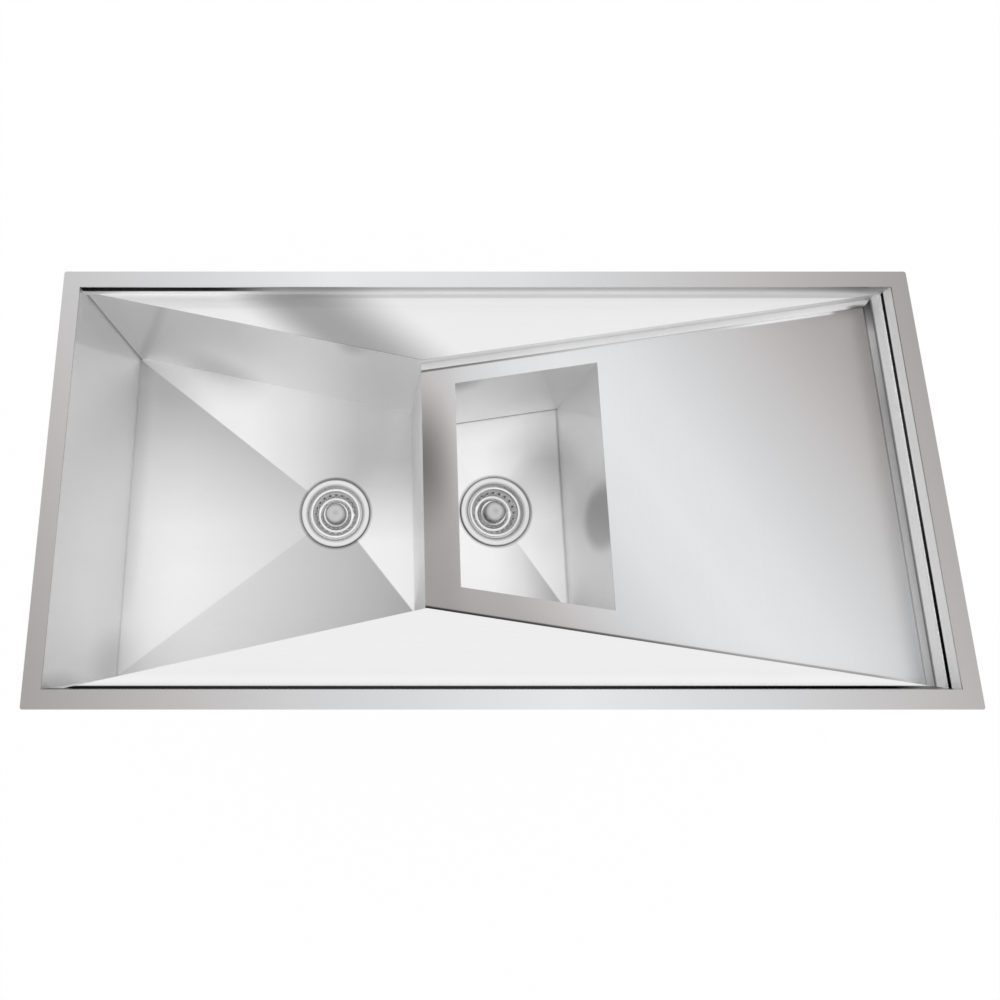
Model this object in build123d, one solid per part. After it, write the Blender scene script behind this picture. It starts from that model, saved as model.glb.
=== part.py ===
from build123d import *
import math
import os

# A rectangular kitchen sink in brushed stainless sheet. A tapered main bowl is at the left, a small prep
# bowl sits in a lowered drainer deck at the right, and two flat triangular wings lie in front of and
# behind them. Millimetres, +Z up, +X right, -Y front. The origin is the middle of the rim's top face.

# The sheet and the rim
sheet = 1.5
rim_length = 1105.0
rim_depth = 550.0
rim_width = 22.0
rim_corner_radius = 3.0

# The wings, below the rim's top face
wing_drop = 20.0
wing_tip_inset = 17.5
waist_half = 160.0

# The drainer deck, and the raised ledge along its back and right sides
ledge_drop = 34.5
ledge_foot = 9.0
ledge_shelf = 3.0

# The bowls: a drop is from the rim's top face to the floor's edge, and a fall from there to the drain
main_length = 447.5
main_drop = 240.0
main_fall = 9.0
main_drain_inset = 122.0
prep_offset = 44.5
prep_length = 190.0
prep_margin = 33.0
prep_drop = 228.0
prep_fall = 5.0
prep_drain_inset = 84.5
drain_forward = 4.0

# Stiffeners under the deck, and sound-deadening pads outside the bowls
stiffener_count = 2
stiffener_crown = 28.0
stiffener_foot = 12.0
stiffener_height = 15.0
stiffener_margin = 25.0
pad_thickness = 4.0
pad_inset = 45.0
pad_height = 110.0
pad_top_gap = 60.0
floor_pad_cover = 0.6

# The basket strainer in each drain
neck_radius = 43.5
neck_length = 35.0
neck_wall = 5.0
neck_hole_gap = 1.0
flange_width = 11.5
flange_height = 2.8
flange_edge = 1.0
flange_edge_round = 3.4
flange_lip_round = 4.0
flange_gap = 2.0
corner_fullness = 0.42
throat_wall = 1.3
throat_depth = 5.0
cup_depth = 36.0
cup_floor_thickness = 4.0
nozzle_bore = 17.0
nozzle_wall = 7.0
nozzle_length = 22.0
thread_pitch = 3.0
thread_depth = 1.0
thread_runout = 1.5
thread_gap = 0.1

# What clamps the strainer to the floor
gasket_thickness = 1.0
washer_thickness = 3.0
fibre_thickness = 1.5
washer_width = 11.5
locknut_width = 14.5
locknut_flange = 4.0
locknut_height = 12.0
locknut_lugs = 8
locknut_lug_width = 12.0
locknut_lug_reach = 5.0

# The tailpiece and its nut
tail_radius = 19.05
tail_wall = 1.2
tail_length = 90.0
tail_waist_length = 15.0
tail_waist = 0.5
tail_flange_play = 1.5
tail_flange_thickness = 1.5
tail_washer_thickness = 2.0
coupling_wall = 5.0
coupling_lip = 3.0
coupling_lip_gap = 1.0
coupling_grip = 14.0
coupling_ribs = 12
coupling_rib = 2.0

# The basket and the stopper that slides in it
rest_gap = 0.3
basket_sheet = 1.2
basket_rim_bearing = 1.5
basket_rim_gap = 1.0
basket_rim_width = 4.8
basket_rim_height = 4.4
basket_wall_lean = 6.7
basket_floor_depth = 20.0
basket_trough_width = 9.0
basket_hub_depth = 12.5
basket_slots = 20
basket_slot_width = 3.0
basket_slot_height = 8.0
post_radius = 4.0
post_gap = 0.08
knob_gap = 3.0
knob_rise = 2.6
knob_lip = 4.5
knob_edge = 1.1
knob_crown_radius = 6.6
knob_brow_width = 3.6
knob_brow_drop = 0.9
knob_stem_radius = 7.0
seal_lap = 6.0
seal_thickness = 3.0
seal_hub_radius = 9.0
seal_hub_height = 3.0

# Places that follow from the sizes above
inner_x = rim_length / 2 - rim_width
inner_y = rim_depth / 2 - rim_width
waist_x = -inner_x + main_length
prep_left = waist_x + prep_offset
prep_right = prep_left + prep_length
main_drain = (waist_x - main_drain_inset, -drain_forward)
prep_drain = (prep_left + prep_drain_inset, -drain_forward)
deck_drop = ledge_drop + sheet
deck_right = inner_x - ledge_shelf
wing_underside = -wing_drop - sheet
deck_underside = -deck_drop - sheet
neck_hole_radius = neck_radius + neck_hole_gap
flange_radius = neck_radius + flange_width
seat_radius = flange_radius + flange_gap


def outset(corners, distances):
    """Corners of an anticlockwise outline, with each side moved outwards by its own distance."""
    count = len(corners)
    normals = []
    for i in range(count):
        along = Vector(*corners[(i + 1) % count]) - Vector(*corners[i])
        normals.append(Vector(along.Y, -along.X).normalized())
    moved = []
    for i in range(count):
        before, after = normals[i - 1], normals[i]
        reach_before, reach_after = distances[i - 1], distances[i]
        lean = before.dot(after)
        shift = before * (reach_before - reach_after * lean) + after * (reach_after - reach_before * lean)
        place = Vector(*corners[i]) + shift * (1 / (1 - lean * lean))
        moved.append((place.X, place.Y))
    return moved


def plate(corners, top, thickness):
    """A flat plate with this plan and top face."""
    face = make_face(Polyline(*[(x, y, top) for x, y in corners], close=True))
    return extrude(face, amount=thickness, dir=(0, 0, -1))


def side_wall(inner, outer, side, top, bottom):
    """The upright plate along one side, or two sides in a row, between two outlines."""
    count = len(inner)
    ends = [i % count for i in side]
    plan = [inner[i] for i in ends] + [outer[i] for i in reversed(ends)]
    return plate(plan, top, top - bottom)


def deck_half(x):
    """Half the width of the lowered deck at x."""
    return waist_half + (inner_y - waist_half) * (x - waist_x) / (deck_right - waist_x)


def mirrored(corners):
    """The same plan on the front side."""
    return [(x, -y) for x, y in corners]


# Outlines, anticlockwise from the front left corner
rim_inside = [(-inner_x, -inner_y), (inner_x, -inner_y), (inner_x, inner_y), (-inner_x, inner_y)]
rim_outside = outset(rim_inside, [sheet] * 4)
wing_tip_x = -inner_x + wing_tip_inset
main_inside = [
    (-inner_x, -inner_y),
    (wing_tip_x, -inner_y),
    (waist_x, -waist_half),
    (waist_x, waist_half),
    (wing_tip_x, inner_y),
    (-inner_x, inner_y),
]
main_outside = outset(main_inside, [sheet, sheet, 0, sheet, sheet, sheet])
deck_inside = [
    (waist_x, -waist_half),
    (deck_right, -inner_y),
    (deck_right, inner_y),
    (waist_x, waist_half),
]
deck_outside = outset(deck_inside, [sheet, sheet, sheet, 0])
prep_inside = [
    (prep_left, prep_margin - deck_half(prep_left)),
    (prep_right, prep_margin - deck_half(prep_right)),
    (prep_right, deck_half(prep_right) - prep_margin),
    (prep_left, deck_half(prep_left) - prep_margin),
]
prep_outside = outset(prep_inside, [sheet] * 4)


def make_rim():
    """The flat flange round the sink, and the upright band inside it."""
    flange = RectangleRounded(rim_length, rim_depth, rim_corner_radius) - Rectangle(2 * inner_x, 2 * inner_y)
    nodes = {"rim_flange": extrude(flange, amount=sheet, dir=(0, 0, -1))}
    for name, side in (("front", (0, 1)), ("right", (1, 2)), ("back", (2, 3))):
        nodes[f"rim_{name}_wall"] = side_wall(rim_inside, rim_outside, side, -sheet, wing_underside)
    return nodes


def make_wings():
    """The two flat triangles between the rim and the recesses."""
    plan = [(wing_tip_x, inner_y), (waist_x, waist_half), (deck_right, inner_y)]
    return {
        "back_wing": plate(plan, -wing_drop, sheet),
        "front_wing": plate(mirrored(plan), -wing_drop, sheet),
    }


def make_deck():
    """The lowered drainer deck, its upstands and the ledge along its back and right sides."""
    opening = plate(prep_inside, -deck_drop, sheet)
    ledge_turn = deck_right - ledge_foot
    back_foot = [
        (waist_x, waist_half),
        (waist_x, waist_half - ledge_foot),
        (ledge_turn, deck_half(ledge_turn) - ledge_foot),
        (deck_right, inner_y),
    ]
    right_foot = [
        (deck_right, inner_y),
        (ledge_turn, deck_half(ledge_turn) - ledge_foot),
        (ledge_turn, -deck_half(ledge_turn)),
        (deck_right, -inner_y),
    ]
    shelf = [(deck_right, -inner_y), (inner_x, -inner_y), (inner_x, inner_y), (deck_right, inner_y)]
    back_upstand = side_wall(deck_inside, deck_outside, (2, 3), wing_underside, -deck_drop)
    right_upstand = side_wall(deck_inside, deck_outside, (1, 2), wing_underside, -deck_drop)
    return {
        "deck_plate": plate(deck_outside, -deck_drop, sheet) - opening,
        "deck_front_upstand": side_wall(deck_inside, deck_outside, (0, 1), wing_underside, -deck_drop),
        "deck_back_ledge": back_upstand + plate(back_foot, -ledge_drop, sheet),
        "deck_right_ledge": right_upstand
        + plate(right_foot, -ledge_drop, sheet)
        + plate(shelf, -wing_drop, sheet),
    }


def height_on(first, second, third, x, y):
    """Height at x, y of the plane through three points."""
    normal = (second - first).cross(third - first)
    return first.Z - (normal.X * (x - first.X) + normal.Y * (y - first.Y)) / normal.Z


def floor_facet(side, drain, drop, fall, cover=1.0, lower=0.0):
    """The flat face from one side of a bowl to its drain, or a smaller one about the same middle."""
    low_point = Vector(*drain, -drop - fall)
    first, last = (Vector(*side[i], -drop) for i in (0, -1))
    corners = [Vector(x, y, height_on(first, last, low_point, x, y)) for x, y in side] + [low_point]
    middle = sum(corners, Vector()) * (1 / len(corners))
    shown = [middle + (corner - middle) * cover - Vector(0, 0, lower) for corner in corners]
    return make_face(Polyline(*shown, close=True))


def creased_floor(sides, drain, drop, fall):
    """A floor of flat facets that fall to a round, flat-bottomed well with the drain hole in it."""
    facets = [floor_facet(side, drain, drop, fall) for side in sides]
    floor = Part() + [extrude(facet, amount=sheet, dir=(0, 0, -1)) for facet in facets]
    above = Part() + [extrude(facet, amount=2 * fall, dir=(0, 0, 1)) for facet in facets]
    seat = Pos(*drain, -drop - fall)
    upright = (Align.CENTER, Align.CENTER, Align.MIN)
    well = seat * Pos(0, 0, -sheet) * Cylinder(seat_radius + sheet, sheet + fall, align=upright)
    hollow = seat * Cylinder(seat_radius, fall, align=upright)
    hole = seat * Pos(0, 0, -2 * sheet) * Cylinder(neck_hole_radius, 3 * sheet, align=upright)
    return floor + (well - above) - hollow - hole


main_sides = [
    [main_inside[5], main_inside[0]],
    main_inside[0:3],
    main_inside[2:4],
    main_inside[3:6],
]
prep_sides = [[prep_inside[i], prep_inside[(i + 1) % 4]] for i in range(4)]


def make_main_bowl():
    """The tapered bowl. Its left wall runs up to the rim, and the deck's edge lies on its right wall."""
    foot = -main_drop - sheet
    waist_wall = [
        main_outside[2],
        (waist_x + sheet, main_outside[2][1]),
        (waist_x + sheet, main_outside[3][1]),
        main_outside[3],
    ]
    return {
        "main_left_wall": side_wall(main_inside, main_outside, (5, 6), -sheet, foot),
        "main_front_wall": side_wall(main_inside, main_outside, (0, 1, 2), wing_underside, foot),
        "main_back_wall": side_wall(main_inside, main_outside, (3, 4, 5), wing_underside, foot),
        "main_right_wall": plate(waist_wall, deck_underside, deck_underside - foot),
        "main_floor": creased_floor(main_sides, main_drain, main_drop, main_fall),
    }


def make_prep_bowl():
    """The small bowl under the deck's opening."""
    foot = -prep_drop - sheet
    nodes = {"prep_floor": creased_floor(prep_sides, prep_drain, prep_drop, prep_fall)}
    for index, name in enumerate(("front", "right", "back", "left")):
        wall = side_wall(prep_inside, prep_outside, (index, index + 1), deck_underside, foot)
        nodes[f"prep_{name}_wall"] = wall
    return nodes


def make_stiffeners():
    """Hat sections that run from front to back under the deck."""
    crown = Pos(0, -stiffener_height / 2) * Rectangle(stiffener_crown, stiffener_height)
    feet = Pos(0, -sheet / 2) * Rectangle(stiffener_crown + 2 * stiffener_foot, sheet)
    channel_height = stiffener_height - sheet
    channel = Pos(0, -channel_height / 2) * Rectangle(stiffener_crown - 2 * sheet, channel_height)
    section = crown + feet - channel
    nodes = {}
    spacing = (deck_right - prep_right) / (stiffener_count + 1)
    for number in range(1, stiffener_count + 1):
        x = prep_right + number * spacing
        half = deck_half(x) - stiffener_margin
        bar = extrude(Plane.XZ * section, amount=half, both=True)
        nodes[f"deck_stiffener_{number}"] = Pos(x, 0, deck_underside) * bar
    return nodes


def wall_pad(start, end, top):
    """A pad stuck outside the wall that runs from start to end, on the right of that way."""
    first, last = Vector(*start), Vector(*end)
    along = (last - first).normalized()
    away = Vector(along.Y, -along.X)
    near_first = first + along * pad_inset
    near_last = last - along * pad_inset
    plan = [near_first, near_last, near_last + away * pad_thickness, near_first + away * pad_thickness]
    return plate([(corner.X, corner.Y) for corner in plan], top, pad_height)


def make_pads():
    """Rubber pads on the outside of the bowls' walls and under the main bowl's floor."""
    main_top = -wing_drop - pad_top_gap
    prep_top = -deck_drop - pad_top_gap
    nodes = {
        "main_left_pad": wall_pad(main_outside[5], main_outside[0], main_top),
        "main_front_pad": wall_pad(main_outside[1], main_outside[2], main_top),
        "main_back_pad": wall_pad(main_outside[3], main_outside[4], main_top),
        "prep_right_pad": wall_pad(prep_outside[1], prep_outside[2], prep_top),
    }
    for name, side in (("left", main_sides[0]), ("front", main_sides[1]), ("back", main_sides[3])):
        facet = floor_facet(side, main_drain, main_drop, main_fall, floor_pad_cover, sheet)
        nodes[f"main_floor_{name}_pad"] = extrude(facet, amount=pad_thickness, dir=(0, 0, -1))
    return nodes


def turned(outline):
    """A solid turned about +Z from an outline of radius and height."""
    return revolve(Plane.XZ * make_face(outline), Axis.Z)


def ring(inner, outer, bottom, top):
    """A plain ring, or a disc where the inner radius is nothing."""
    return turned(Polyline((inner, bottom), (outer, bottom), (outer, top), (inner, top), close=True))


def thread(radius, low, high):
    """Outline of the ridges of a thread from low to high, ending at the full radius."""
    turns = int((high - low - thread_runout) / thread_pitch)
    points = [(radius - thread_depth, low)]
    for turn in range(turns):
        foot = low + turn * thread_pitch
        points.append((radius, foot + thread_pitch / 2))
        points.append((radius - thread_depth, foot + thread_pitch))
    points.append((radius - thread_depth, high))
    return points


# Heights in a drain, from the flat seat in the floor's well
flange_bottom = gasket_thickness
flange_top = flange_bottom + flange_height
basket_seat = flange_top - flange_height - throat_depth
cup_floor = -cup_depth
nozzle_end = cup_floor - nozzle_length
locknut_top = -sheet - washer_thickness - fibre_thickness
tail_top = nozzle_end - tail_washer_thickness

# Radii in a drain, from the neck inwards and outwards
throat_radius = neck_radius - throat_wall
cup_radius = neck_radius - neck_wall
basket_rim_radius = cup_radius + basket_rim_bearing
basket_floor_radius = basket_rim_radius - basket_rim_width - basket_wall_lean
basket_hub_radius = basket_floor_radius - basket_trough_width
knob_radius = basket_hub_radius - knob_gap
washer_radius = neck_hole_radius + washer_width
locknut_radius = neck_radius + locknut_width
nozzle_radius = nozzle_bore + nozzle_wall
coupling_radius = nozzle_radius + coupling_wall
tail_flange_radius = nozzle_radius - tail_flange_play
seal_radius = nozzle_bore + seal_lap


def rounded_corner(start, end, corner):
    """An arc from start to end that bulges most of the way to the square corner."""
    middle = (Vector(*start) + Vector(*end)) * 0.5
    return ThreePointArc(start, middle + (Vector(*corner) - middle) * corner_fullness, end)


def strainer_body():
    """The flanged cup that hangs in the drain hole, with its threaded neck and nozzle."""
    cup_underside = cup_floor - cup_floor_thickness
    neck_end = flange_bottom - neck_length
    edge = (flange_radius, flange_bottom + flange_edge)
    crown = (flange_radius - flange_edge_round, flange_top)
    lip = (throat_radius + flange_lip_round, flange_top)
    throat = (throat_radius, flange_bottom)
    outline = [
        Line((flange_radius, flange_bottom), edge),
        rounded_corner(edge, crown, (flange_radius, flange_top)),
        Line(crown, lip),
        rounded_corner(lip, throat, (throat_radius, flange_top)),
        Polyline(
            throat,
            (basket_rim_radius + basket_rim_gap, basket_seat),
            (cup_radius, basket_seat),
            (cup_radius, cup_floor),
            (nozzle_bore, cup_floor),
            (nozzle_bore, nozzle_end),
            *thread(nozzle_radius, nozzle_end, cup_underside),
            (cup_radius, cup_underside),
            *thread(neck_radius, neck_end, flange_bottom),
            (flange_radius, flange_bottom),
        ),
    ]
    return turned(outline)


def locknut():
    """The ring nut under the floor, with lugs to turn it by."""
    bottom = locknut_top - locknut_height
    bore = neck_radius + thread_gap
    nut = ring(bore, locknut_radius, locknut_top - locknut_flange, locknut_top)
    nut += ring(bore, locknut_radius - locknut_lug_reach, bottom, locknut_top - locknut_flange)
    lug_length = 2 * locknut_lug_reach
    lug = Pos(locknut_radius - locknut_lug_reach, 0, bottom + locknut_height / 2) * Box(
        lug_length, locknut_lug_width, locknut_height
    )
    return nut + PolarLocations(0, locknut_lugs) * lug


def tailpiece():
    """The flanged tube that the waste pipe joins."""
    bore = tail_radius - tail_wall
    waist_foot = tail_top - tail_waist_length
    tube = ring(bore, tail_radius, tail_top - tail_length, waist_foot)
    waist = ring(bore, tail_radius - tail_waist, waist_foot, tail_top)
    return tube + waist + ring(bore, tail_flange_radius, tail_top - tail_flange_thickness, tail_top)


def coupling_nut():
    """The nut that draws the tailpiece's flange up to the nozzle."""
    bore = nozzle_radius + thread_gap
    lip_top = tail_top - tail_flange_thickness
    bottom = lip_top - coupling_lip
    nut = ring(bore, coupling_radius, lip_top, nozzle_end + coupling_grip)
    nut += ring(tail_radius + coupling_lip_gap, coupling_radius, bottom, lip_top)
    height = nozzle_end + coupling_grip - bottom
    rib = Pos(coupling_radius, 0, bottom + height / 2) * Box(coupling_rib, coupling_rib, height)
    return nut + PolarLocations(0, coupling_ribs) * rib


def basket():
    """The pressed basket: a rolled rim, a slotted wall and a raised hub with the post's bore."""
    rim_bottom = basket_seat + rest_gap
    rim_top = rim_bottom + basket_rim_height
    rim_inside = basket_rim_radius - basket_rim_width
    floor = flange_bottom - basket_floor_depth
    hub = flange_bottom - basket_hub_depth
    bore = post_radius + post_gap
    hub_foot = basket_floor_radius - 3 * basket_sheet
    upper = [
        (rim_inside, rim_top - basket_sheet),
        (basket_floor_radius, floor + basket_sheet),
        (hub_foot, floor + basket_sheet),
        (basket_hub_radius, hub),
        (bore, hub),
    ]
    lower = [
        (bore, hub - basket_sheet),
        (basket_hub_radius - basket_sheet, hub - basket_sheet),
        (hub_foot - basket_sheet, floor),
        (basket_floor_radius + basket_sheet, floor),
        (rim_inside + basket_sheet, rim_bottom),
        (basket_rim_radius, rim_bottom),
    ]
    edge = (basket_rim_radius, rim_bottom + basket_sheet)
    rim_middle = (basket_rim_radius - basket_rim_width / 2, rim_top + basket_sheet / 2)
    outline = [
        ThreePointArc(edge, rim_middle, upper[0]),
        Polyline(*upper, *lower, edge),
    ]
    slot_middle = (rim_inside + basket_floor_radius) / 2
    slot = Pos(slot_middle, 0, (rim_bottom + floor) / 2) * Box(
        4 * basket_rim_width, basket_slot_width, basket_slot_height
    )
    return turned(outline) - PolarLocations(0, basket_slots) * slot


def stopper():
    """The post with its knob on top."""
    hub = flange_bottom - basket_hub_depth
    stem_bottom = hub + rest_gap
    top = flange_top + knob_rise
    lip = top - knob_lip
    seal_bottom = cup_floor + rest_gap
    brow = (knob_radius - knob_brow_width, top - knob_brow_drop)
    outline = [
        Polyline(
            (knob_crown_radius, top),
            (0, top),
            (0, seal_bottom),
            (post_radius, seal_bottom),
            (post_radius, stem_bottom),
            (knob_stem_radius, stem_bottom),
            (knob_stem_radius, lip - knob_lip / 2),
            (knob_radius, lip),
            (knob_radius, lip + knob_edge),
        ),
        ThreePointArc((knob_radius, lip + knob_edge), brow, (knob_crown_radius, top)),
    ]
    return turned(outline)


def make_drain(name, drain, seat_height):
    """Every piece of one drain, from the strainer down to the tailpiece."""
    seal_bottom = cup_floor + rest_gap
    seal_top = seal_bottom + seal_thickness
    pieces = {
        "flange_gasket": ring(neck_hole_radius, flange_radius - flange_gap, 0, gasket_thickness),
        "strainer": strainer_body(),
        "washer": ring(neck_hole_radius, washer_radius, -sheet - washer_thickness, -sheet),
        "fibre_ring": ring(neck_hole_radius, washer_radius, locknut_top, locknut_top + fibre_thickness),
        "locknut": locknut(),
        "basket": basket(),
        "stopper": stopper(),
        "stopper_seal": ring(post_radius, seal_radius, seal_bottom, seal_top)
        + ring(post_radius, seal_hub_radius, seal_top, seal_top + seal_hub_height),
        "tail_washer": ring(tail_radius - tail_wall, tail_flange_radius, tail_top, nozzle_end),
        "tailpiece": tailpiece(),
        "coupling_nut": coupling_nut(),
    }
    return {f"{name}_{piece}": Pos(*drain, seat_height) * solid for piece, solid in pieces.items()}


def make_nodes():
    """Every node of the sink by name."""
    return {
        **make_rim(),
        **make_wings(),
        **make_deck(),
        **make_main_bowl(),
        **make_prep_bowl(),
        **make_stiffeners(),
        **make_pads(),
        **make_drain("main", main_drain, -main_drop - main_fall),
        **make_drain("prep", prep_drain, -prep_drop - prep_fall),
    }


os.makedirs("parts", exist_ok=True)
for node_name, node in make_nodes().items():
    export_step(node, f"parts/{node_name}.step")
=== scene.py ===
import math

import bpy
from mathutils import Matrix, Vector

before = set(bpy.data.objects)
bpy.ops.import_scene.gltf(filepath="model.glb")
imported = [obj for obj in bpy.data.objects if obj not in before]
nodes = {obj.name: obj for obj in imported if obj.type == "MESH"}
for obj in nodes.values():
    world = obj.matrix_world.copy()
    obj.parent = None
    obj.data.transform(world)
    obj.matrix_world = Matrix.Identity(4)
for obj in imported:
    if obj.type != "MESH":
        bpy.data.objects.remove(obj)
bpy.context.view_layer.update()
scene = bpy.context.scene


# The rim is a flat frame of 1.5 mm stainless sheet with nearly square corners. Below its inner edge an
# upright band runs down to the wings. Both are brushed along the sink's length with a fine belt, so the
# steel has short straight scratches and a faint cloudiness where the belt pressed harder.
def new_material(name):
    """A material with nothing in it but its output and its Principled shader."""
    material = bpy.data.materials.new(name)
    material.use_nodes = True
    tree = material.node_tree
    shader = tree.nodes["Principled BSDF"]
    return material, tree, shader


def wire(tree, start, end):
    tree.links.new(start, end)


def is_output(value):
    return hasattr(value, "is_linked")


def feed(tree, sockets, values):
    """Gives each socket its value, which is a plain one or another node's output."""
    for socket, value in zip(sockets, values):
        if is_output(value):
            wire(tree, value, socket)
        else:
            socket.default_value = value


def number(tree, operation, first, second=0.0, third=0.0):
    """A Math node."""
    node = tree.nodes.new("ShaderNodeMath")
    node.operation = operation
    feed(tree, node.inputs, (first, second, third))
    return node.outputs[0]


def vector_math(tree, operation, *values):
    """A Vector Math node."""
    node = tree.nodes.new("ShaderNodeVectorMath")
    node.operation = operation
    feed(tree, node.inputs, values)
    return node.outputs["Value" if operation in ("LENGTH", "DOT_PRODUCT") else "Vector"]


def share_between(tree, value, start, end, interpolation="LINEAR"):
    """How far a value has come from start to end: 0 at or before start, and 1 at or after end."""
    node = tree.nodes.new("ShaderNodeMapRange")
    node.interpolation_type = interpolation
    feed(tree, (node.inputs["Value"], node.inputs["From Min"], node.inputs["From Max"]), (value, start, end))
    return node.outputs["Result"]


def smooth_step(tree, value, start, end):
    """0 before start and 1 after end, with a soft turn at both. It falls where end is below start."""
    return share_between(tree, value, start, end, "SMOOTHSTEP")


def overlap(tree, first, *others):
    """The product of several amounts: 1 where all of them are 1."""
    for other in others:
        first = number(tree, "MULTIPLY", first, other)
    return first


def stripe(tree, value, edge, other_edge):
    """1 in a soft-edged stripe. Each edge goes from where the stripe starts to where it is full."""
    return overlap(tree, smooth_step(tree, value, *edge), smooth_step(tree, value, *other_edge))


def vary(tree, middle, signal, spread):
    """A value that changes by spread in all, round its middle, as a signal goes from 0 to 1."""
    return number(tree, "MULTIPLY_ADD", signal, spread, middle - spread / 2)


class Place:
    """Where the surface is in the sink's own frame, in metres, and which way it faces."""

    def __init__(self, tree):
        coordinates = tree.nodes.new("ShaderNodeTexCoord")
        split = tree.nodes.new("ShaderNodeSeparateXYZ")
        wire(tree, coordinates.outputs["Object"], split.inputs[0])
        self.tree = tree
        self.point = coordinates.outputs["Object"]
        self.x, self.y, self.z = split.outputs
        self.normal = tree.nodes.new("ShaderNodeNewGeometry").outputs["True Normal"]

    def along(self, direction, start=(0.0, 0.0, 0.0)):
        """Distance from start along a direction, times the direction's own length."""
        offset = vector_math(self.tree, "SUBTRACT", self.point, start)
        return vector_math(self.tree, "DOT_PRODUCT", offset, direction)

    def from_axis(self, centre):
        """Distance in plan from a drain's axis."""
        offset = vector_math(self.tree, "SUBTRACT", self.point, (*centre, 0.0))
        return vector_math(self.tree, "LENGTH", vector_math(self.tree, "MULTIPLY", offset, (1.0, 1.0, 0.0)))

    def facing(self, point):
        """1 where the surface faces the point, and 0 on its back."""
        sight = vector_math(self.tree, "SUBTRACT", point, self.point)
        return number(self.tree, "GREATER_THAN", vector_math(self.tree, "DOT_PRODUCT", sight, self.normal))

    def spot(self, centre, reach, core=0.0):
        """A soft oval patch: 0 beyond its reach along each axis, and 1 within core, a share of the reach."""
        mapping = self.tree.nodes.new("ShaderNodeMapping")
        mapping.vector_type = "TEXTURE"
        mapping.inputs["Location"].default_value = centre
        mapping.inputs["Scale"].default_value = reach
        wire(self.tree, self.point, mapping.inputs["Vector"])
        return smooth_step(self.tree, vector_math(self.tree, "LENGTH", mapping.outputs[0]), 1.0, core)

    def left_of(self, start, end, soft):
        """1 on the left of a line in plan, seen from above and looking from start to end."""
        across = Vector((start[1] - end[1], end[0] - start[0], 0.0)).normalized()
        return smooth_step(self.tree, self.along(across, (*start, 0.0)), -soft, soft)


# A tone is a function that works out a grey level at a place, as seen on a screen: the finish together with
# the reflections and shade painted into it. Greys go from 0 to 255 in the stops and amounts below, and a
# level between nodes is the grey's share of 255.
white = 255
brightest = 254
mill_grey = 205
screen_gamma = 2.2


def shades(tree, value, *stops):
    """Greys at places in metres along a value, as pairs of a place and its grey."""
    first, last = stops[0][0], stops[-1][0]
    ramp = tree.nodes.new("ShaderNodeValToRGB")
    ramp.color_ramp.interpolation = "LINEAR"
    marks = ramp.color_ramp.elements
    for _ in stops[2:]:
        marks.new(0.5)
    for mark, (where, tint) in zip(marks, stops):
        mark.position = (where - first) / (last - first)
        mark.color = (tint / white, tint / white, tint / white, 1.0)
    wire(tree, share_between(tree, value, first, last), ramp.inputs["Fac"])
    parts = tree.nodes.new("ShaderNodeSeparateColor")
    wire(tree, ramp.outputs["Color"], parts.inputs[0])
    return parts.outputs[0]


def grey(level):
    """A tone that is the same all over."""
    return lambda tree, place: shades(tree, place.x, (-1.0, level), (1.0, level))


def darker(tree, level, amount, greys):
    """Takes greys off a level where amount is 1. A negative number makes it lighter."""
    return number(tree, "MULTIPLY_ADD", amount, -greys / white, level)


def towards(tree, level, amount, other):
    """Moves from one level to another where amount is 1. Either is a node's output or a grey."""
    mix = tree.nodes.new("ShaderNodeMix")
    levels = [value if is_output(value) else value / white for value in (level, other)]
    feed(tree, (mix.inputs[0], mix.inputs[2], mix.inputs[3]), (amount, *levels))
    return mix.outputs[0]


def capped(tree, level):
    """Keeps a level from black to the brightest grey that bare metal shows."""
    node = tree.nodes.new("ShaderNodeClamp")
    feed(tree, node.inputs, (level, 0.0, brightest / white))
    return node.outputs[0]


def tinted(tree, value, parts):
    """A colour: the value times its red, green and blue parts."""
    colour = tree.nodes.new("ShaderNodeCombineColor")
    feed(tree, colour.inputs, [number(tree, "MULTIPLY", value, part) for part in parts])
    return colour.outputs[0]


def noise(tree, vector, stretch, detail, offset=0.0):
    """Noise over a vector. stretch is roughly how many spots or scratches a metre holds along each axis."""
    mapping = tree.nodes.new("ShaderNodeMapping")
    mapping.inputs["Scale"].default_value = stretch
    mapping.inputs["Location"].default_value = (offset, offset, offset)
    wire(tree, vector, mapping.inputs["Vector"])
    texture = tree.nodes.new("ShaderNodeTexNoise")
    texture.inputs["Scale"].default_value = 1.0
    texture.inputs["Detail"].default_value = detail
    wire(tree, mapping.outputs[0], texture.inputs["Vector"])
    return texture.outputs["Fac"]


def roughen(tree, shader, height, strength, depth):
    """Gives the shader a fine relief, with its depth in metres."""
    bump = tree.nodes.new("ShaderNodeBump")
    bump.inputs["Strength"].default_value = strength
    bump.inputs["Distance"].default_value = depth
    wire(tree, height, bump.inputs["Height"])
    wire(tree, bump.outputs[0], shader.inputs["Normal"])


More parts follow.
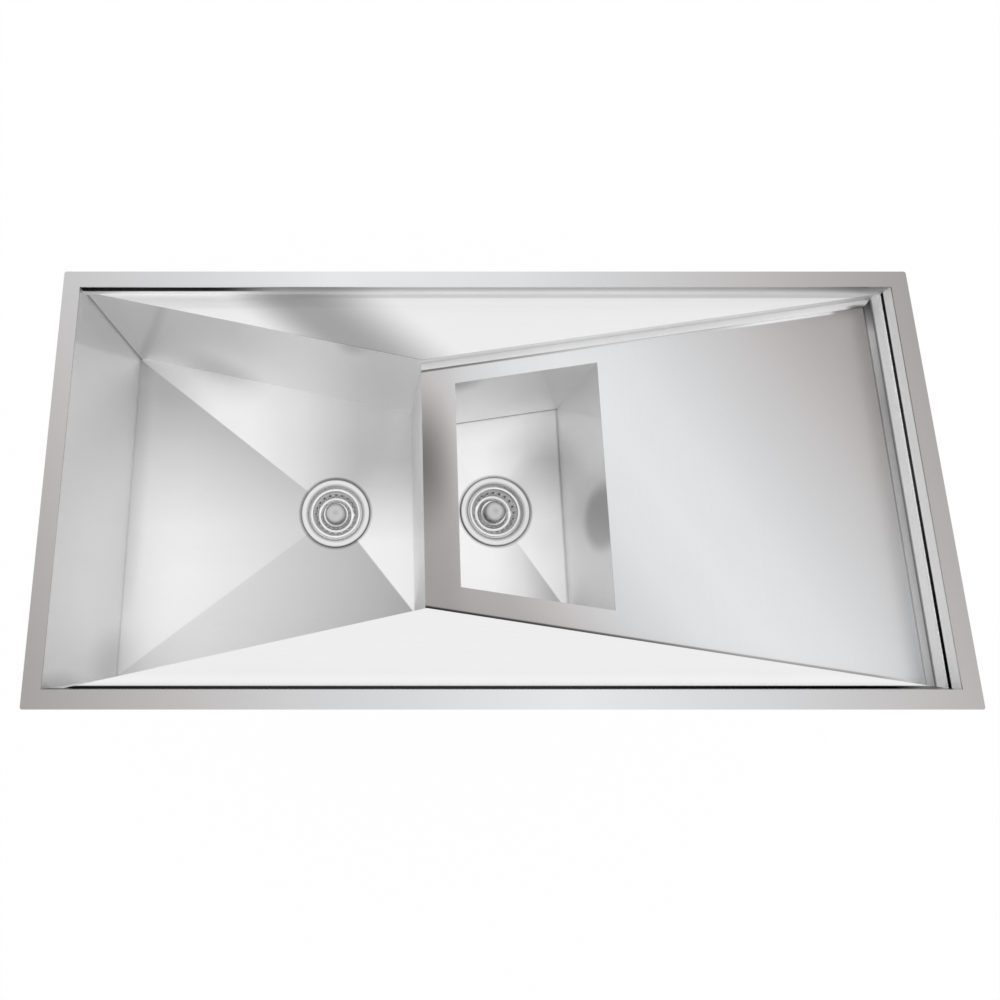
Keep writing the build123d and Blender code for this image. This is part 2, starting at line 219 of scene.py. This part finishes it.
def brushed_grain_group():
    """Belt scratches along the group's x, as a shade from 0 to 1 and a height, and cloudiness."""
    group = bpy.data.node_groups.new("brushed_grain", "ShaderNodeTree")
    group.interface.new_socket("Vector", in_out="INPUT", socket_type="NodeSocketVector")
    for name in ("Shade", "Height", "Cloud"):
        group.interface.new_socket(name, in_out="OUTPUT", socket_type="NodeSocketFloat")
    vector = group.nodes.new("NodeGroupInput").outputs["Vector"]
    end = group.nodes.new("NodeGroupOutput")
    fine = noise(group, vector, (60.0, 2600.0, 2600.0), 2.0)
    coarse = noise(group, vector, (14.0, 700.0, 700.0), 2.0, 3.7)
    speckle = noise(group, vector, (900.0, 900.0, 900.0), 1.0, 9.1)
    cloud = noise(group, vector, (5.0, 9.0, 9.0), 3.0, 5.3)
    scratches = number(group, "MULTIPLY_ADD", fine, 0.6, number(group, "MULTIPLY", coarse, 0.4))
    shade = number(group, "MULTIPLY_ADD", speckle, 0.35, number(group, "MULTIPLY", scratches, 0.65))
    feed(group, end.inputs, (shade, scratches, cloud))
    return group


brushed_grain = brushed_grain_group()
lengthwise = (0.0, 0.0, 0.0)
crosswise = (0.0, 0.0, math.pi / 2)
upright = (0.0, math.pi / 2, 0.0)
warm_below, warm_from = 0.84, 0.70
cool_cast = (-0.3, 0.0, 0.6)
warm_cast = (1.8, -0.4, -0.5)


def brushed_steel(name, tone, roughness=0.3, grain_turn=lengthwise, faces=None, cast=0.0):
    """Brushed stainless. roughness is a number, or a function of a place as tone is. faces is the point that
    the finished side looks at: the other side of the sheet is left as it came from the mill. cast makes the
    darker places a little warmer than the bright ones."""
    material, tree, shader = new_material(name)
    place = Place(tree)
    turned = tree.nodes.new("ShaderNodeVectorRotate")
    turned.rotation_type = "EULER_XYZ"
    turned.inputs["Rotation"].default_value = grain_turn
    wire(tree, place.point, turned.inputs["Vector"])
    grain = tree.nodes.new("ShaderNodeGroup")
    grain.node_tree = brushed_grain
    wire(tree, turned.outputs[0], grain.inputs["Vector"])
    shade, height, cloud = grain.outputs

    level = capped(tree, tone(tree, place))
    if faces:
        level = towards(tree, mill_grey, place.facing(faces), level)
    bright = number(tree, "POWER", level, screen_gamma)
    value = overlap(tree, vary(tree, 1.0, shade, 0.12), vary(tree, 1.0, cloud, 0.04), bright)
    value = number(tree, "MINIMUM", value, 1.0)
    warmth = smooth_step(tree, level, warm_below, warm_from)
    parts = [
        number(tree, "MULTIPLY_ADD", warmth, cast * (warm - cool), 1.0 + cast * cool)
        for cool, warm in zip(cool_cast, warm_cast)
    ]
    wire(tree, tinted(tree, value, parts), shader.inputs["Base Color"])
    rough = roughness(tree, place) if callable(roughness) else roughness
    wire(tree, number(tree, "ADD", rough, vary(tree, 0.0, shade, 0.12)), shader.inputs["Roughness"])
    roughen(tree, shader, height, 0.12, 0.0002)
    shader.inputs["Metallic"].default_value = 1.0
    return material


def dress(material, *names):
    """Gives CAD nodes their material."""
    for name in names:
        for slot in nodes[name].material_slots:
            slot.material = material


overhead = (0.0, 0.0, 50.0)
over_sink = (0.0, 0.0, 0.5)
plate_cast = 0.024
rim_end = 0.5525
inner_x, inner_y = 0.5305, 0.253


def rim_tone(tree, place):
    """A painted reflection: brightest in the middle of the long sides, and darker towards the right and the
    front left.
    """
    front = shades(tree, place.x, (-rim_end, 162), (-0.25, 205), (0.08, 231), (0.3, 214), (rim_end, 181))
    back = shades(tree, place.x, (-rim_end, 199), (-0.2, 231), (0.05, 222), (0.3, 194), (rim_end, 162))
    backwards = shades(tree, place.y, (-0.26, 0), (0.26, white))
    return towards(tree, front, backwards, back)


def back_band_tone(tree, place):
    """A painted reflection, brighter towards the wing. At the left a painted dark reflection makes a black
    line under the flange.
    """
    level = shades(tree, place.z, (-0.0195, 252), (-0.015, 250), (-0.006, 202), (-0.001, 196))
    level = darker(tree, level, smooth_step(tree, place.x, 0.1, 0.5), 20)
    # The black line is a painted dark reflection.
    line = stripe(tree, place.z, (-0.0125, -0.0095), (0.0, -0.0015))
    return towards(tree, level, overlap(tree, line, smooth_step(tree, place.x, -0.26, -0.38)), 0)


def front_band_tone(tree, place):
    """Painted shade and dark reflection: black along nearly all of the front, and grey by the right corner.
    """
    return shades(tree, place.x, (-0.53, 10), (0.35, 20), (0.45, 10), (0.49, 150), (0.53, 170))


def right_band_tone(tree, place):
    """Bright, with a painted shadow line low down that is black at the front and dark grey towards the back.
    """
    level = shades(tree, place.z, (-0.020, 254), (-0.0005, 254), (0.0, 200))
    # A painted shadow line low on the band.
    line = stripe(tree, place.z, (-0.0141, -0.0156), (-0.0198, -0.0184))
    return towards(tree, level, line, shades(tree, place.y, (-inner_y, 0), (0.0, 70), (inner_y, 40)))


dress(brushed_steel("rim_steel", rim_tone, faces=overhead, cast=plate_cast), "rim_flange")
dress(brushed_steel("rim_back_band_steel", back_band_tone, 0.6, faces=over_sink), "rim_back_wall")
dress(brushed_steel("rim_front_band_steel", front_band_tone, faces=over_sink), "rim_front_wall")
dress(brushed_steel("rim_right_band_steel", right_band_tone, 0.8, faces=over_sink), "rim_right_wall")


# The wings are two flat triangles of the same sheet. They are lighter than the rest, and the back one carries
# a soft grey patch, which is a painted reflection.
def wing_tone(tree, place):
    """Nearly white, with the soft grey patch of painted reflection, a greyer strip of painted shade by the
    back band and a dark front edge of painted shade.
    """
    level = shades(tree, place.y, (-0.2495, 252), (-0.236, 238), (0.228, 237), (0.240, 254), (0.2525, 254))
    # The grey patch is a painted reflection.
    patch = stripe(tree, place.along((0.64, 0.768, 0.0)), (-0.035, 0.022), (0.115, 0.035))
    level = darker(tree, level, overlap(tree, patch, smooth_step(tree, place.y, 0.0, 0.1)), 74)
    # Painted shade beside the back band.
    strip = smooth_step(tree, place.y, 0.2468, 0.2488)
    level = darker(tree, level, overlap(tree, strip, smooth_step(tree, place.x, -0.30, -0.10)), 27)
    # Painted shade along the front edge.
    edge = smooth_step(tree, place.y, -0.2497, -0.2512)
    edge_shade_grey = shades(
        tree, place.x, (-0.53, 30), (-0.3, 62), (0.1, 65), (0.43, 0), (0.465, 10), (0.50, 125), (0.53, 140)
    )
    return towards(tree, level, edge, edge_shade_grey)


def wing_roughness(tree, place):
    """Duller beside the back band, where the belt couldn't reach."""
    return number(tree, "MULTIPLY_ADD", smooth_step(tree, place.y, 0.226, 0.240), 0.35, 0.3)


dress(brushed_steel("wing_steel", wing_tone, wing_roughness, faces=overhead), "back_wing", "front_wing")


# The drainer deck is one lowered plate with the prep bowl's opening cut in it. Its grain runs from front to
# back. Across its length it carries a painted reflection, pale in the middle and darker at the back right,
# and painted shade by the main bowl.
waist_x, waist_y = -0.083, 0.160
deck_corner = (0.5275, inner_y)
deck_slope = (deck_corner[1] - waist_y) / (deck_corner[0] - waist_x)


def deck_tone(tree, place):
    """The plate's painted reflection and painted shade, with painted shadow lines where it meets its upstands
    and a bright strip painted by the back foot.
    """
    slant = place.along((1.0, 0.61, 0.0))
    level = shades(
        tree, slant, (-0.15, 165), (-0.07, 174), (0.03, 204), (0.13, 224), (0.21, 229), (0.30, 223),
        (0.45, 199), (0.59, 171), (0.68, 161),
    )
    # Painted shade by the main bowl, and a lighter painted reflection along the right margin.
    level = darker(tree, level, place.spot((-0.085, 0.03, 0.0), (0.055, 0.12, 10.0)), 52)
    level = darker(tree, level, smooth_step(tree, place.x, -0.02, -0.06), 8)
    level = darker(tree, level, smooth_step(tree, place.x, 0.500, 0.519), -9)
    # Painted shadow lines where the plate meets its front and back upstands.
    from_front = place.along((deck_slope, 1.0, 0.0), (waist_x, -waist_y, 0.0))
    front_shadow_line = smooth_step(tree, from_front, 0.0046, 0.0024)
    strength = shades(tree, place.x, (waist_x, white), (0.05, 215), (0.3, 90), (0.46, 85), (0.50, 0))
    level = towards(tree, level, overlap(tree, front_shadow_line, strength), 60)
    from_back = place.along((deck_slope, -1.0, 0.0), (waist_x, waist_y, 0.0))
    back_shadow_line = smooth_step(tree, from_back, 0.0125, 0.0105)
    level = towards(tree, level, overlap(tree, back_shadow_line, smooth_step(tree, place.x, 0.26, -0.15)), 110)
    # A bright strip painted along the back foot, where the foot should look wider.
    shine = smooth_step(tree, from_back, 0.0138, 0.0118)
    shine = overlap(tree, shine, stripe(tree, place.x, (0.30, 0.38), (0.482, 0.470)))
    return towards(tree, level, shine, 238)


deck_steel = brushed_steel("deck_steel", deck_tone, grain_turn=crosswise, faces=overhead, cast=plate_cast)
dress(deck_steel, "deck_plate")


# The deck lies lower than the wings. An upstand closes the step along its front, and a ledge with a narrow
# foot along its back and its right. They are folded strips of the same sheet, welded in.
def upstand_tone(tree, place):
    """Darkest by the bowls, where the upstand lies in shade under the front wing."""
    return shades(tree, place.x, (waist_x, 60), (0.3, 90), (0.46, 140), (0.50, 215))


def back_ledge_tone(tree, place):
    """A bright upstand that is darker at its lowest as painted shade, and a slightly greyer foot, with a dark
    patch of painted shade by the right corner.
    """
    upstand = shades(tree, place.z, (-0.0345, 200), (-0.0310, 234), (-0.0225, 252), (-0.020, 254))
    upstand = darker(tree, upstand, smooth_step(tree, place.x, 0.30, 0.48), 8)
    foot = shades(tree, place.x, (-0.1, 226), (0.1, 240), (0.3, 236), (0.45, 246))
    level = towards(tree, upstand, smooth_step(tree, place.z, -0.0335, -0.0343), foot)
    # Painted shade in the right corner.
    return darker(tree, level, place.spot((0.514, 0.2405, -0.0345), (0.024, 0.0065, 0.008), 0.3), 110)


def right_ledge_tone(tree, place):
    """A bright upstand with a darker line of painted shade at its lowest, and a grey foot of painted
    reflection that is darkest at the back, where shade is painted into the corner.
    """
    upstand = shades(tree, place.z, (-0.0345, 165), (-0.0325, 190), (-0.031, 254), (-0.020, 254))
    foot = shades(
        tree, place.y, (-inner_y, 225), (0.0, 206), (0.1, 193), (0.205, 215), (0.236, 150), (inner_y, 95)
    )
    return towards(tree, upstand, smooth_step(tree, place.x, 0.5273, 0.5268), foot)


dress(brushed_steel("deck_front_upstand_steel", upstand_tone, faces=over_sink), "deck_front_upstand")
dress(brushed_steel("deck_back_ledge_steel", back_ledge_tone, 0.6, faces=over_sink), "deck_back_ledge")
dress(brushed_steel("deck_right_ledge_steel", right_ledge_tone, 0.9, faces=over_sink), "deck_right_ledge")


# The main bowl is welded up from flat walls and a floor of four facets, all of satin sheet. The walls' grain
# is upright. The facets fall to the drain in different directions, so the shade changes at the creases. Walls
# and floor carry painted reflections and painted shade.
main_drain = (-0.205, -0.004)
main_middle = (-0.30, 0.0, -0.12)
satin = 0.5
floor_gloss = 0.34
sharp_crease = 0.0015


def bowl_corners(left, left_half, right, right_half):
    """A floor's corners in plan, from where its left and right walls stand and their half widths."""
    return {
        "back_left": (left, left_half), "back_right": (right, right_half),
        "front_right": (right, -right_half), "front_left": (left, -left_half),
    }


def floor_tone(tree, place, drain, corners, tones, back_right_crease):
    """Gives each facet between the creases that run from the drain to the corners its painted reflection, and
    paints a dark ring of shade round the drain. The back right crease is a soft one, and its width is given."""
    left_of = {
        key: place.left_of(drain, corner, back_right_crease if key == "back_right" else sharp_crease)
        for key, corner in corners.items()
    }
    sides = {
        "left": ("back_left", "front_left"), "back": ("back_right", "back_left"),
        "right": ("front_right", "back_right"), "front": ("front_left", "front_right"),
    }
    level = 0.0
    for facet, (start, end) in sides.items():
        inside = overlap(tree, left_of[start], number(tree, "SUBTRACT", 1.0, left_of[end]))
        level = number(tree, "MULTIPLY_ADD", inside, tones[facet], level)
    # A painted ring of shade round the drain.
    return darker(tree, level, smooth_step(tree, place.from_axis(drain), 0.0600, 0.0560), 42)


def main_floor_tone(tree, place):
    """The four facets of the main bowl's floor as painted reflections, with painted shade along the left edge
    at the front and lighter near the back wall.
    """
    left = shades(
        tree, place.y, (-0.26, 254), (-0.10, 252), (-0.03, 247), (0.06, 228), (0.13, 212), (0.19, 209),
        (0.26, 227),
    )
    left = darker(tree, left, number(tree, "SUBTRACT", place.x, -0.48), 150)
    # Painted shade along the left edge at the front.
    edge = overlap(tree, smooth_step(tree, place.x, -0.500, -0.529), smooth_step(tree, place.y, -0.22, -0.10))
    left = darker(tree, left, edge, 20)
    back = shades(
        tree, place.x, (-0.46, 237), (-0.40, 248), (-0.34, 244), (-0.26, 225), (-0.17, 190), (-0.13, 187),
        (waist_x, 200),
    )
    near_wall = smooth_step(tree, number(tree, "MULTIPLY_ADD", place.x, 0.2, place.y), 0.05, 0.15)
    back = darker(tree, back, near_wall, -16)
    right = shades(
        tree, place.y, (-0.16, 247), (-0.05, 244), (0.0, 226), (0.04, 205), (0.08, 192), (0.16, 205)
    )
    front = shades(tree, place.x, (-0.53, 238), (-0.44, 230), (-0.25, 204), (waist_x, 178))
    corners = bowl_corners(-inner_x, inner_y, waist_x, waist_y)
    tones = {"left": left, "back": back, "right": right, "front": front}
    return floor_tone(tree, place, main_drain, corners, tones, 0.022)


def main_left_tone(tree, place):
    """Brightest in the middle. Darker past a painted mirrored line by the back corner, and with painted shade
    low down in the front half, in the front corner and along its foot."""
    level = shades(tree, place.y, (-0.26, 252), (-0.10, 247), (0.02, 254), (0.26, 254))
    mirrored = number(tree, "MULTIPLY_ADD", place.z, 0.31, place.y)
    level = darker(tree, level, smooth_step(tree, mirrored, 0.171, 0.179), 13)
    # Painted shade low down, in the front corner and along the foot.
    low = overlap(tree, smooth_step(tree, place.z, -0.07, -0.22), smooth_step(tree, place.y, 0.08, -0.03))
    level = darker(tree, level, low, 10)
    level = darker(tree, level, place.spot((-0.53, -0.225, -0.23), (10.0, 0.06, 0.13)), 22)
    level = darker(tree, level, place.spot((-0.53, -0.262, -0.03), (10.0, 0.035, 0.12)), 45)
    return darker(tree, level, smooth_step(tree, place.z, -0.2290, -0.2385), 16)


def main_back_tone(tree, place):
    """Painted shade by the floor left of the middle, along the left corner and under the edge of the wing. A
    soft slanting line rises from the low left corner."""
    level = shades(
        tree, place.x, (-0.53, 248), (-0.42, 246), (-0.34, 241), (-0.25, 251), (-0.19, 254), (waist_x, 254)
    )
    level = darker(tree, level, place.spot((-0.40, 0.23, -0.240), (0.085, 10.0, 0.11), 0.15), 31)
    slant = place.along((0.906, 0.0, -0.424), (-0.528, 0.0, -0.24))
    level = darker(tree, level, smooth_step(tree, slant, 0.004, -0.004), 6)
    line = number(
        tree, "SUBTRACT", smooth_step(tree, slant, -0.012, -0.002), smooth_step(tree, slant, 0.002, 0.010)
    )
    level = darker(tree, level, overlap(tree, line, smooth_step(tree, place.x, -0.40, -0.43)), 9)
    level = darker(tree, level, smooth_step(tree, place.x, -0.5266, -0.5284), 50)
    return darker(tree, level, place.spot((-0.175, 0.18, -0.02), (0.035, 10.0, 0.045)), 26)


def main_right_tone(tree, place):
    """Even, and a little darker towards the back."""
    return shades(tree, place.y, (-0.16, 254), (0.05, 254), (0.12, 250), (0.16, 245))


def main_right_roughness(tree, place):
    """Satin, and a little duller towards the back."""
    return number(tree, "MULTIPLY_ADD", smooth_step(tree, place.y, -0.10, 0.06), 0.18, 0.42)


def dress_bowl(bowl, middle, floor, walls):
    """Gives a bowl's floor its tone, and each wall its tone and roughness. The finish is on the inside."""
    for side, (tone, roughness) in walls.items():
        dress(brushed_steel(f"{bowl}_{side}_steel", tone, roughness, upright, middle), f"{bowl}_{side}_wall")
    dress(brushed_steel(f"{bowl}_floor_steel", floor, floor_gloss, faces=middle), f"{bowl}_floor")


dress_bowl("main", main_middle, main_floor_tone, {
    "left": (main_left_tone, satin), "back": (main_back_tone, satin),
    "right": (main_right_tone, main_right_roughness), "front": (grey(brightest), satin),
})


# The prep bowl is made in the same way as the main one and of the same satin sheet, and it hangs under the
# deck's opening.
prep_drain = (0.046, -0.004)
prep_middle = (0.056, 0.0, -0.12)


def prep_floor_tone(tree, place):
    """The four facets of the prep bowl's floor as painted reflections, a soft dark patch, and a dark line of
    painted shade along the right wall.
    """
    left = shades(tree, place.y, (-0.15, 252), (0.15, 247))
    back = shades(tree, place.x, (-0.04, 252), (0.03, 250), (0.066, 238), (0.104, 224), (0.152, 226))
    back = darker(tree, back, smooth_step(tree, place.y, 0.09, 0.15), -26)
    right = shades(
        tree, place.y, (-0.16, 252), (-0.07, 251), (-0.02, 240), (0.03, 216), (0.08, 206), (0.12, 232),
        (0.16, 250),
    )
    front = shades(tree, place.x, (-0.04, 250), (0.04, 249), (0.085, 234), (0.13, 196))
    corners = bowl_corners(-0.0385, 0.1338, 0.1515, 0.1627)
    tones = {"left": left, "back": back, "right": right, "front": front}
    level = floor_tone(tree, place, prep_drain, corners, tones, 0.018)
    level = darker(tree, level, place.spot((0.145, 0.075, 0.0), (0.06, 0.075, 10.0)), 14)
    # Painted shade along the right wall.
    return darker(tree, level, smooth_step(tree, place.x, 0.1475, 0.1502), 42)


def prep_back_tone(tree, place):
    """Even, with a dark corner of painted shade at the left under the deck and a dark line of painted shade
    along its foot. It is a little darker past a painted mirrored line by the right corner."""
    level = shades(tree, place.x, (-0.04, 246), (0.0, 254), (0.152, 254))
    # Painted shade in the corner under the deck.
    level = darker(tree, level, place.spot((-0.035, 0.13, -0.036), (0.05, 10.0, 0.05)), 45)
    mirrored = place.along((0.928, 0.0, 0.373), (0.1515, 0.0, -0.228))
    level = darker(tree, level, smooth_step(tree, mirrored, -0.0015, 0.0015), 6)
    # Painted shade along the foot.
    return darker(tree, level, smooth_step(tree, place.z, -0.2225, -0.2265), 90)


def prep_right_tone(tree, place):
    """Even, with a dark round patch of painted shade under the edge. It is a little darker past a painted
    mirrored line by the back corner."""
    level = shades(tree, place.y, (-0.17, 254), (-0.02, 243), (0.03, 254), (0.17, 254))
    mirrored = place.along((0.0, 0.926, 0.378), (0.0, 0.1627, -0.228))
    level = darker(tree, level, smooth_step(tree, mirrored, -0.002, 0.002), 6)
    # Painted shade under the edge.
    return darker(tree, level, place.spot((0.15, -0.042, -0.06), (10.0, 0.052, 0.085), 0.55), 40)


dress_bowl("prep", prep_middle, prep_floor_tone, {
    "left": (grey(brightest), satin), "back": (prep_back_tone, satin),
    "right": (prep_right_tone, satin), "front": (grey(brightest), satin),
})


# Two hat-section stiffeners run from front to back under the deck. They are spot welded to it and left as
# rolled.
stiffener_steel = brushed_steel("stiffener_steel", grey(198), 0.38, crosswise)
dress(stiffener_steel, "deck_stiffener_1", "deck_stiffener_2")


# Rubber pads are glued outside the bowls to deaden the noise of the water. They are grey, with a fine
# pebbled skin, and slightly chalky.
def moulded(name, colour, roughness, grain_size, grain_depth, mottle, specks=0.0):
    """A moulded or pressed material with a fine skin and a slight mottle."""
    material, tree, shader = new_material(name)
    place = Place(tree)
    scale = 1.0 / grain_size
    skin = noise(tree, place.point, (scale, scale, scale), 3.0)
    blot = noise(tree, place.point, (22.0, 22.0, 22.0), 3.0, 2.1)
    amount = overlap(tree, vary(tree, 1.0, blot, 2 * mottle), vary(tree, 1.0, skin, 2 * specks))
    wire(tree, tinted(tree, amount, colour), shader.inputs["Base Color"])
    wire(tree, vary(tree, roughness, skin, 0.16), shader.inputs["Roughness"])
    roughen(tree, shader, skin, 0.4, grain_depth)
    return material


pads = [name for name in nodes if name.endswith("_pad")]
dress(moulded("pad_rubber", (0.20, 0.20, 0.21), 0.82, 0.0012, 0.0004, 0.12), *pads)


# Each drain has a turned and polished strainer body, a lift-out basket and a stopper with a turned knob.
# Their rings of grey are painted reflections: the flange shines, with dark lines of painted shade round its
# outer edge and in the groove where the basket's rim sits.
def ring_steel(name, drain, rings, roughness, spots=()):
    """Turned stainless: painted reflection and shade as greys by the distance from the drain's axis, with
    fine turning marks. spots are soft round patches, as their place from the axis, their radius and the greys
    that they take off."""
    material, tree, shader = new_material(name)
    place = Place(tree)
    radius = place.from_axis(drain)
    texture = tree.nodes.new("ShaderNodeTexNoise")
    texture.noise_dimensions = "1D"
    texture.inputs["Scale"].default_value = 2500.0
    texture.inputs["Detail"].default_value = 2.0
    wire(tree, radius, texture.inputs["W"])
    marks = texture.outputs["Fac"]
    level = shades(tree, radius, *rings)
    for (x, y), size, greys in spots:
        level = darker(tree, level, place.spot((drain[0] + x, drain[1] + y, 0.0), (size, size, 10.0)), greys)
    bright = number(tree, "POWER", capped(tree, level), screen_gamma)
    value = overlap(tree, bright, vary(tree, 1.0, marks, 0.14))
    wire(tree, tinted(tree, value, (1.0, 1.0, 1.0)), shader.inputs["Base Color"])
    wire(tree, vary(tree, roughness, marks, 0.12), shader.inputs["Roughness"])
    roughen(tree, shader, marks, 0.15, 0.0002)
    shader.inputs["Metallic"].default_value = 1.0
    return material


# The rings paint reflection and shade: dark rings of painted shade in the grooves, round the flange's edge
# and round the knob, and a darker sloped basket wall.
strainer_rings = (
    (0.0, 200), (0.0395, 254), (0.0418, 248), (0.0436, 170), (0.0452, 186), (0.0480, 232), (0.0520, 230),
    (0.0550, 140),
)
basket_rings = (
    (0.0, 200), (0.0165, 190), (0.0180, 245), (0.0200, 254), (0.0245, 254), (0.0300, 205), (0.0330, 205),
    (0.0360, 245), (0.0405, 254),
)
# The basket's spots take off negative greys, so they are painted highlights.
basket_highlights = (((-0.0215, 0.008), 0.009, -40), ((0.0255, -0.001), 0.007, -50))
stopper_rings = ((0.0, 176), (0.0060, 200), (0.0125, 196), (0.0150, 182), (0.0165, 168))
for bowl, drain in (("main", main_drain), ("prep", prep_drain)):
    dress(ring_steel(f"{bowl}_strainer_steel", drain, strainer_rings, 0.30), f"{bowl}_strainer")
    dress(ring_steel(f"{bowl}_basket_steel", drain, basket_rings, 0.28, basket_highlights), f"{bowl}_basket")
    dress(ring_steel(f"{bowl}_stopper_steel", drain, stopper_rings, 0.30), f"{bowl}_stopper")


# What clamps each strainer to the floor: black rubber seals and washers, a ring of pressed fibre, and white
# moulded nuts. The tailpiece and its washer are moulded in the same white plastic.
black_rubber = moulded("black_rubber", (0.045, 0.045, 0.047), 0.7, 0.0008, 0.0001, 0.15)
fibre = moulded("pressed_fibre", (0.50, 0.36, 0.22), 0.9, 0.0006, 0.0002, 0.15, specks=0.2)
white_plastic = moulded("white_plastic", (0.80, 0.80, 0.78), 0.42, 0.0010, 0.00004, 0.02)
rubber_pieces = ("flange_gasket", "washer", "stopper_seal")
plastic_pieces = ("locknut", "tail_washer", "tailpiece", "coupling_nut")
for bowl in ("main", "prep"):
    dress(black_rubber, *[f"{bowl}_{piece}" for piece in rubber_pieces])
    dress(fibre, f"{bowl}_fibre_ring")
    dress(white_plastic, *[f"{bowl}_{piece}" for piece in plastic_pieces])


# The studio is a soft white dome, a little brighter overhead than at the horizon where metal mirrors it.
# The camera sees it plain white.
def seen_by(tree, *kinds):
    """1 for the named kinds of ray, and 0 for the others."""
    outputs = tree.nodes.new("ShaderNodeLightPath").outputs
    amount = outputs[f"Is {kinds[0]} Ray"]
    for kind in kinds[1:]:
        amount = number(tree, "MAXIMUM", amount, outputs[f"Is {kind} Ray"])
    return amount


horizon_level = 0.88
world = bpy.data.worlds.new("studio")
scene.world = world
world.use_nodes = True
sky = world.node_tree
background = sky.nodes["Background"]
direction = sky.nodes.new("ShaderNodeTexCoord")
sky_split = sky.nodes.new("ShaderNodeSeparateXYZ")
wire(sky, direction.outputs["Generated"], sky_split.inputs[0])
height = smooth_step(sky, sky_split.outputs["Z"], -0.1, 0.9)
dome_level = number(sky, "MULTIPLY_ADD", height, 1.0 - horizon_level, horizon_level)
background.inputs["Color"].default_value = (1.0, 1.0, 1.0, 1.0)
dome_level = number(sky, "MAXIMUM", seen_by(sky, "Camera", "Transmission"), dome_level)
wire(sky, dome_level, background.inputs["Strength"])

# The floor is a pale sheet well below the drains. The camera, metal and glass see it nearly white, and from
# below it lets the view through.
floor_height = -0.65
floor_reach = 6.0
floor_glow = 0.97
floor_square = ((-1, -1), (1, -1), (1, 1), (-1, 1))
floor_corners = [(floor_reach * x, floor_reach * y, floor_height) for x, y in floor_square]
floor_mesh = bpy.data.meshes.new("studio_floor")
floor_mesh.from_pydata(floor_corners, [], [(0, 1, 2, 3)])
floor = bpy.data.objects.new("studio_floor", floor_mesh)
scene.collection.objects.link(floor)
paper, tree, shader = new_material("floor_paper")
floor_mesh.materials.append(paper)
shader.inputs["Base Color"].default_value = (0.9, 0.9, 0.9, 1.0)
shader.inputs["Roughness"].default_value = 0.9
glow = tree.nodes.new("ShaderNodeEmission")
glow.inputs["Color"].default_value = (1.0, 1.0, 1.0, 1.0)
shown = number(tree, "MULTIPLY", seen_by(tree, "Camera", "Glossy", "Transmission"), floor_glow)
lit = tree.nodes.new("ShaderNodeMixShader")
feed(tree, lit.inputs, (shown, shader.outputs[0], glow.outputs[0]))
from_below = tree.nodes.new("ShaderNodeNewGeometry").outputs["Backfacing"]
clear = tree.nodes.new("ShaderNodeBsdfTransparent")
either = tree.nodes.new("ShaderNodeMixShader")
feed(tree, either.inputs, (from_below, lit.outputs[0], clear.outputs[0]))
wire(tree, either.outputs[0], tree.nodes["Material Output"].inputs["Surface"])

# The camera hangs over the sink's left half, near its front edge, and looks down steeply. The focal length
# and the picture's centre are shares of its width.
camera_place = (-0.1548, -0.1856, 0.794)
camera_down = math.radians(78.11)
focal_share = 0.6634
principal_x, principal_y = 0.3672, 0.490
camera_data = bpy.data.cameras.new("camera")
camera = bpy.data.objects.new("camera", camera_data)
scene.collection.objects.link(camera)
camera.location = camera_place
camera.rotation_euler = (math.pi / 2 - camera_down, 0.0, 0.0)
camera_data.sensor_width = 36.0
camera_data.lens = focal_share * camera_data.sensor_width
camera_data.shift_x = 0.5 - principal_x
camera_data.shift_y = principal_y - 0.5
camera_data.clip_start = 0.01
scene.camera = camera
scene.view_settings.view_transform = "Standard"
